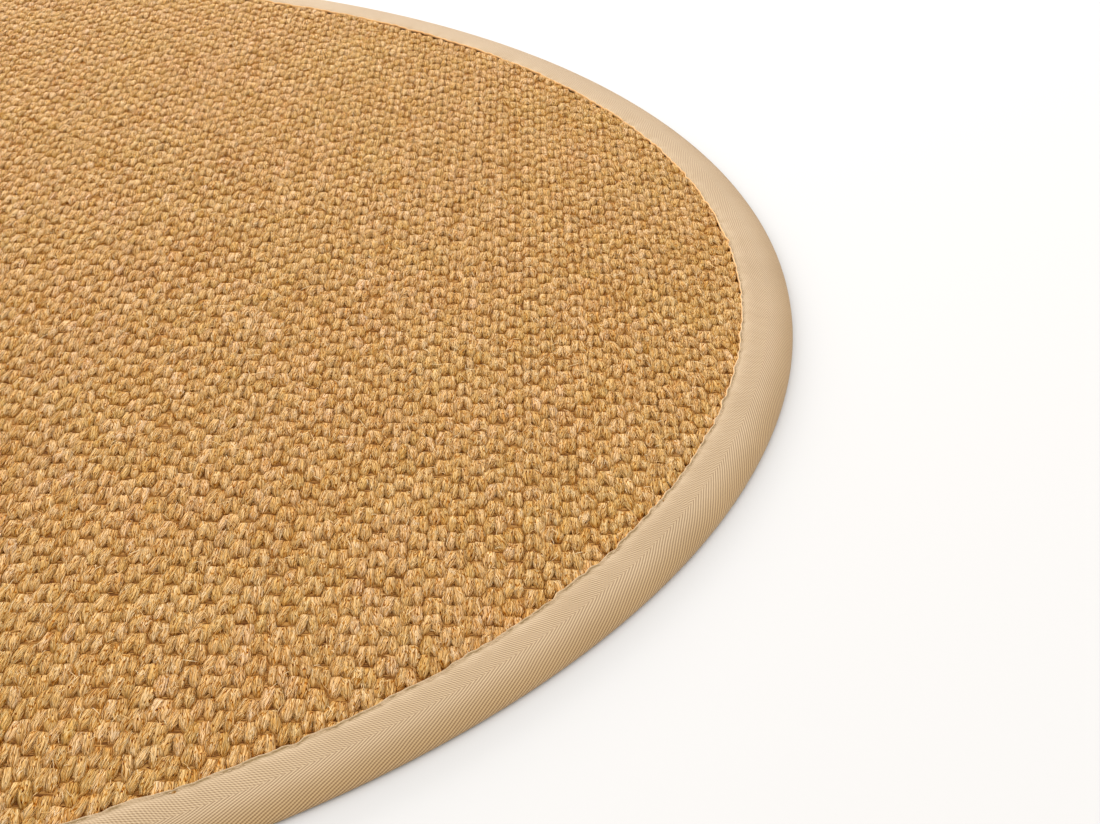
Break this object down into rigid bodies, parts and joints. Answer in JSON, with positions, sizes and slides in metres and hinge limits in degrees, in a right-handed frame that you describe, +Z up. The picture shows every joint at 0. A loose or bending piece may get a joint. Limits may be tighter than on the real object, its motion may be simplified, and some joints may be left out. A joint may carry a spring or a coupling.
{
  "type": "round sisal rug",
  "caption": "Flat round floor rug of chunky woven sisal, its cut rim wrapped and sewn in a folded herringbone cotton tape.",
  "frame": {"origin": "centre of the underside, on the floor", "axes": "+Z up out of the floor, through the middle of the rug; the columns of the weave run along Y"},
  "size_m": [1.2, 1.2, 0.009],
  "materials": {
    "sisal": "matt golden sisal, coarse paired yarns in a brick-like weave",
    "tape": "matt beige cotton herringbone twill, machine stitched along its inner edge"
  },
  "bodies": {
    "root": {"sisal_field": "sisal", "binding_tape": "tape"}
  },
  "joints": []
}
